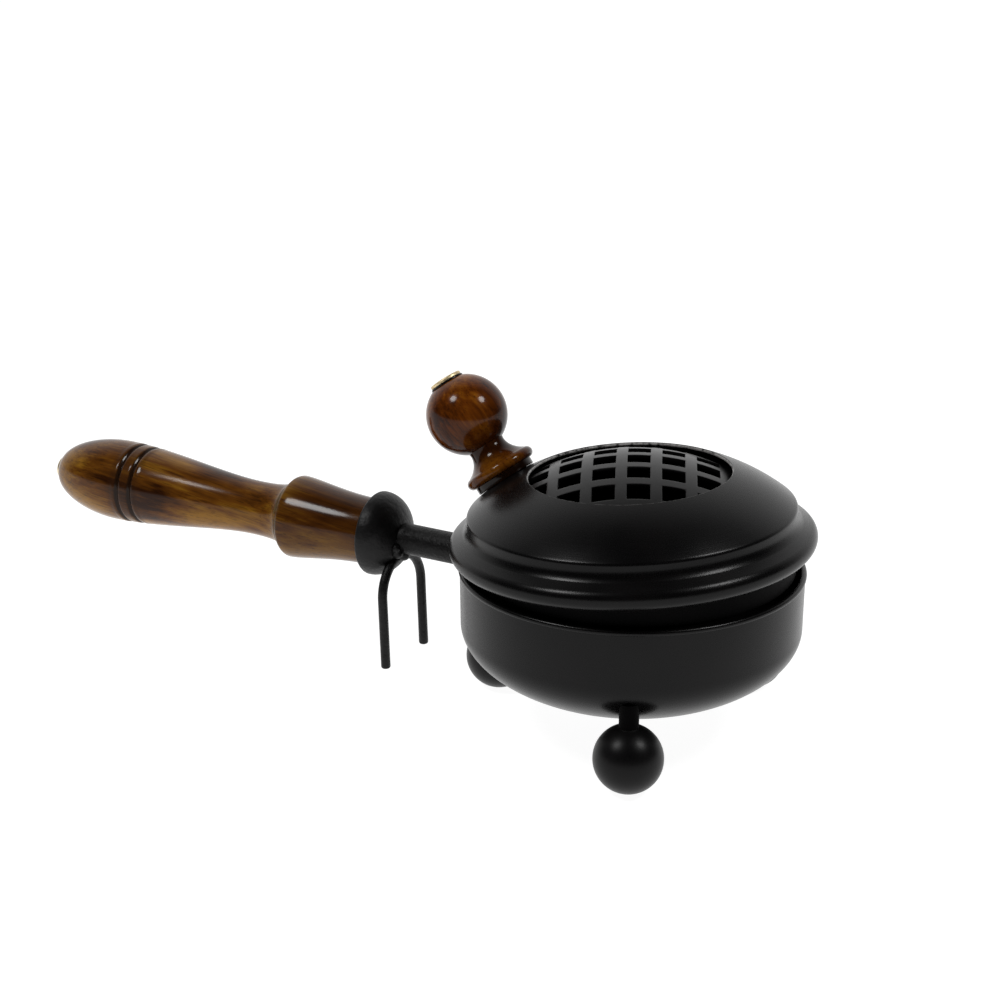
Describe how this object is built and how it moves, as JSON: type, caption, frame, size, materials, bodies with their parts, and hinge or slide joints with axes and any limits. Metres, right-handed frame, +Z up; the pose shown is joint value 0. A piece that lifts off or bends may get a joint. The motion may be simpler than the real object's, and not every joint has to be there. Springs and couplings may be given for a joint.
{
  "type": "hand-held charcoal pan",
  "caption": "Round black steel charcoal pan on ball feet, with a turned wooden handle, a rest fork and a hinged lid that has a domed grille and a wooden knob.",
  "frame": {"origin": "on the surface that the pan stands on, under the bowl's axis", "axes": "+Z up along the bowl's axis, the handle along -X, +Y to the left when looking from the handle to the bowl"},
  "size_m": [0.2616, 0.1054, 0.0982],
  "materials": {
    "black_steel": "satin black paint on steel",
    "turned_wood": "dark brown stain under a gloss varnish",
    "brass": "pale polished brass",
    "plain_steel": "bright zinc plated steel"
  },
  "bodies": {
    "pan": {"bowl": "black_steel", "foot_ball_rear": "black_steel", "foot_ball_left": "black_steel", "foot_ball_right": "black_steel", "foot_stud_rear": "black_steel", "foot_stud_left": "black_steel", "foot_stud_right": "black_steel", "handle_rod": "black_steel", "rod_weld": "black_steel", "ferrule_cup": "black_steel", "handle_grip": "turned_wood", "end_washer": "plain_steel", "end_nut": "brass", "rest_fork": "black_steel", "fork_weld": "black_steel", "hinge_barrel": "black_steel", "hinge_weld": "black_steel"},
    "lid": {"lid_shell": "black_steel", "lid_skirt": "black_steel", "grille": "black_steel", "knob": "turned_wood", "knob_screw": "brass", "knob_top_washer": "black_steel", "knob_washer": "plain_steel", "knob_nut": "plain_steel", "hinge_strap": "black_steel", "hinge_pin": "plain_steel"}
  },
  "joints": [
    {"name": "lid_hinge", "type": "hinge", "parent": "pan", "child": "lid", "pos_m": [-0.0538, 0, 0.0497], "axis": [0, -1, 0], "range_deg": [-3.6, 56]}
  ]
}
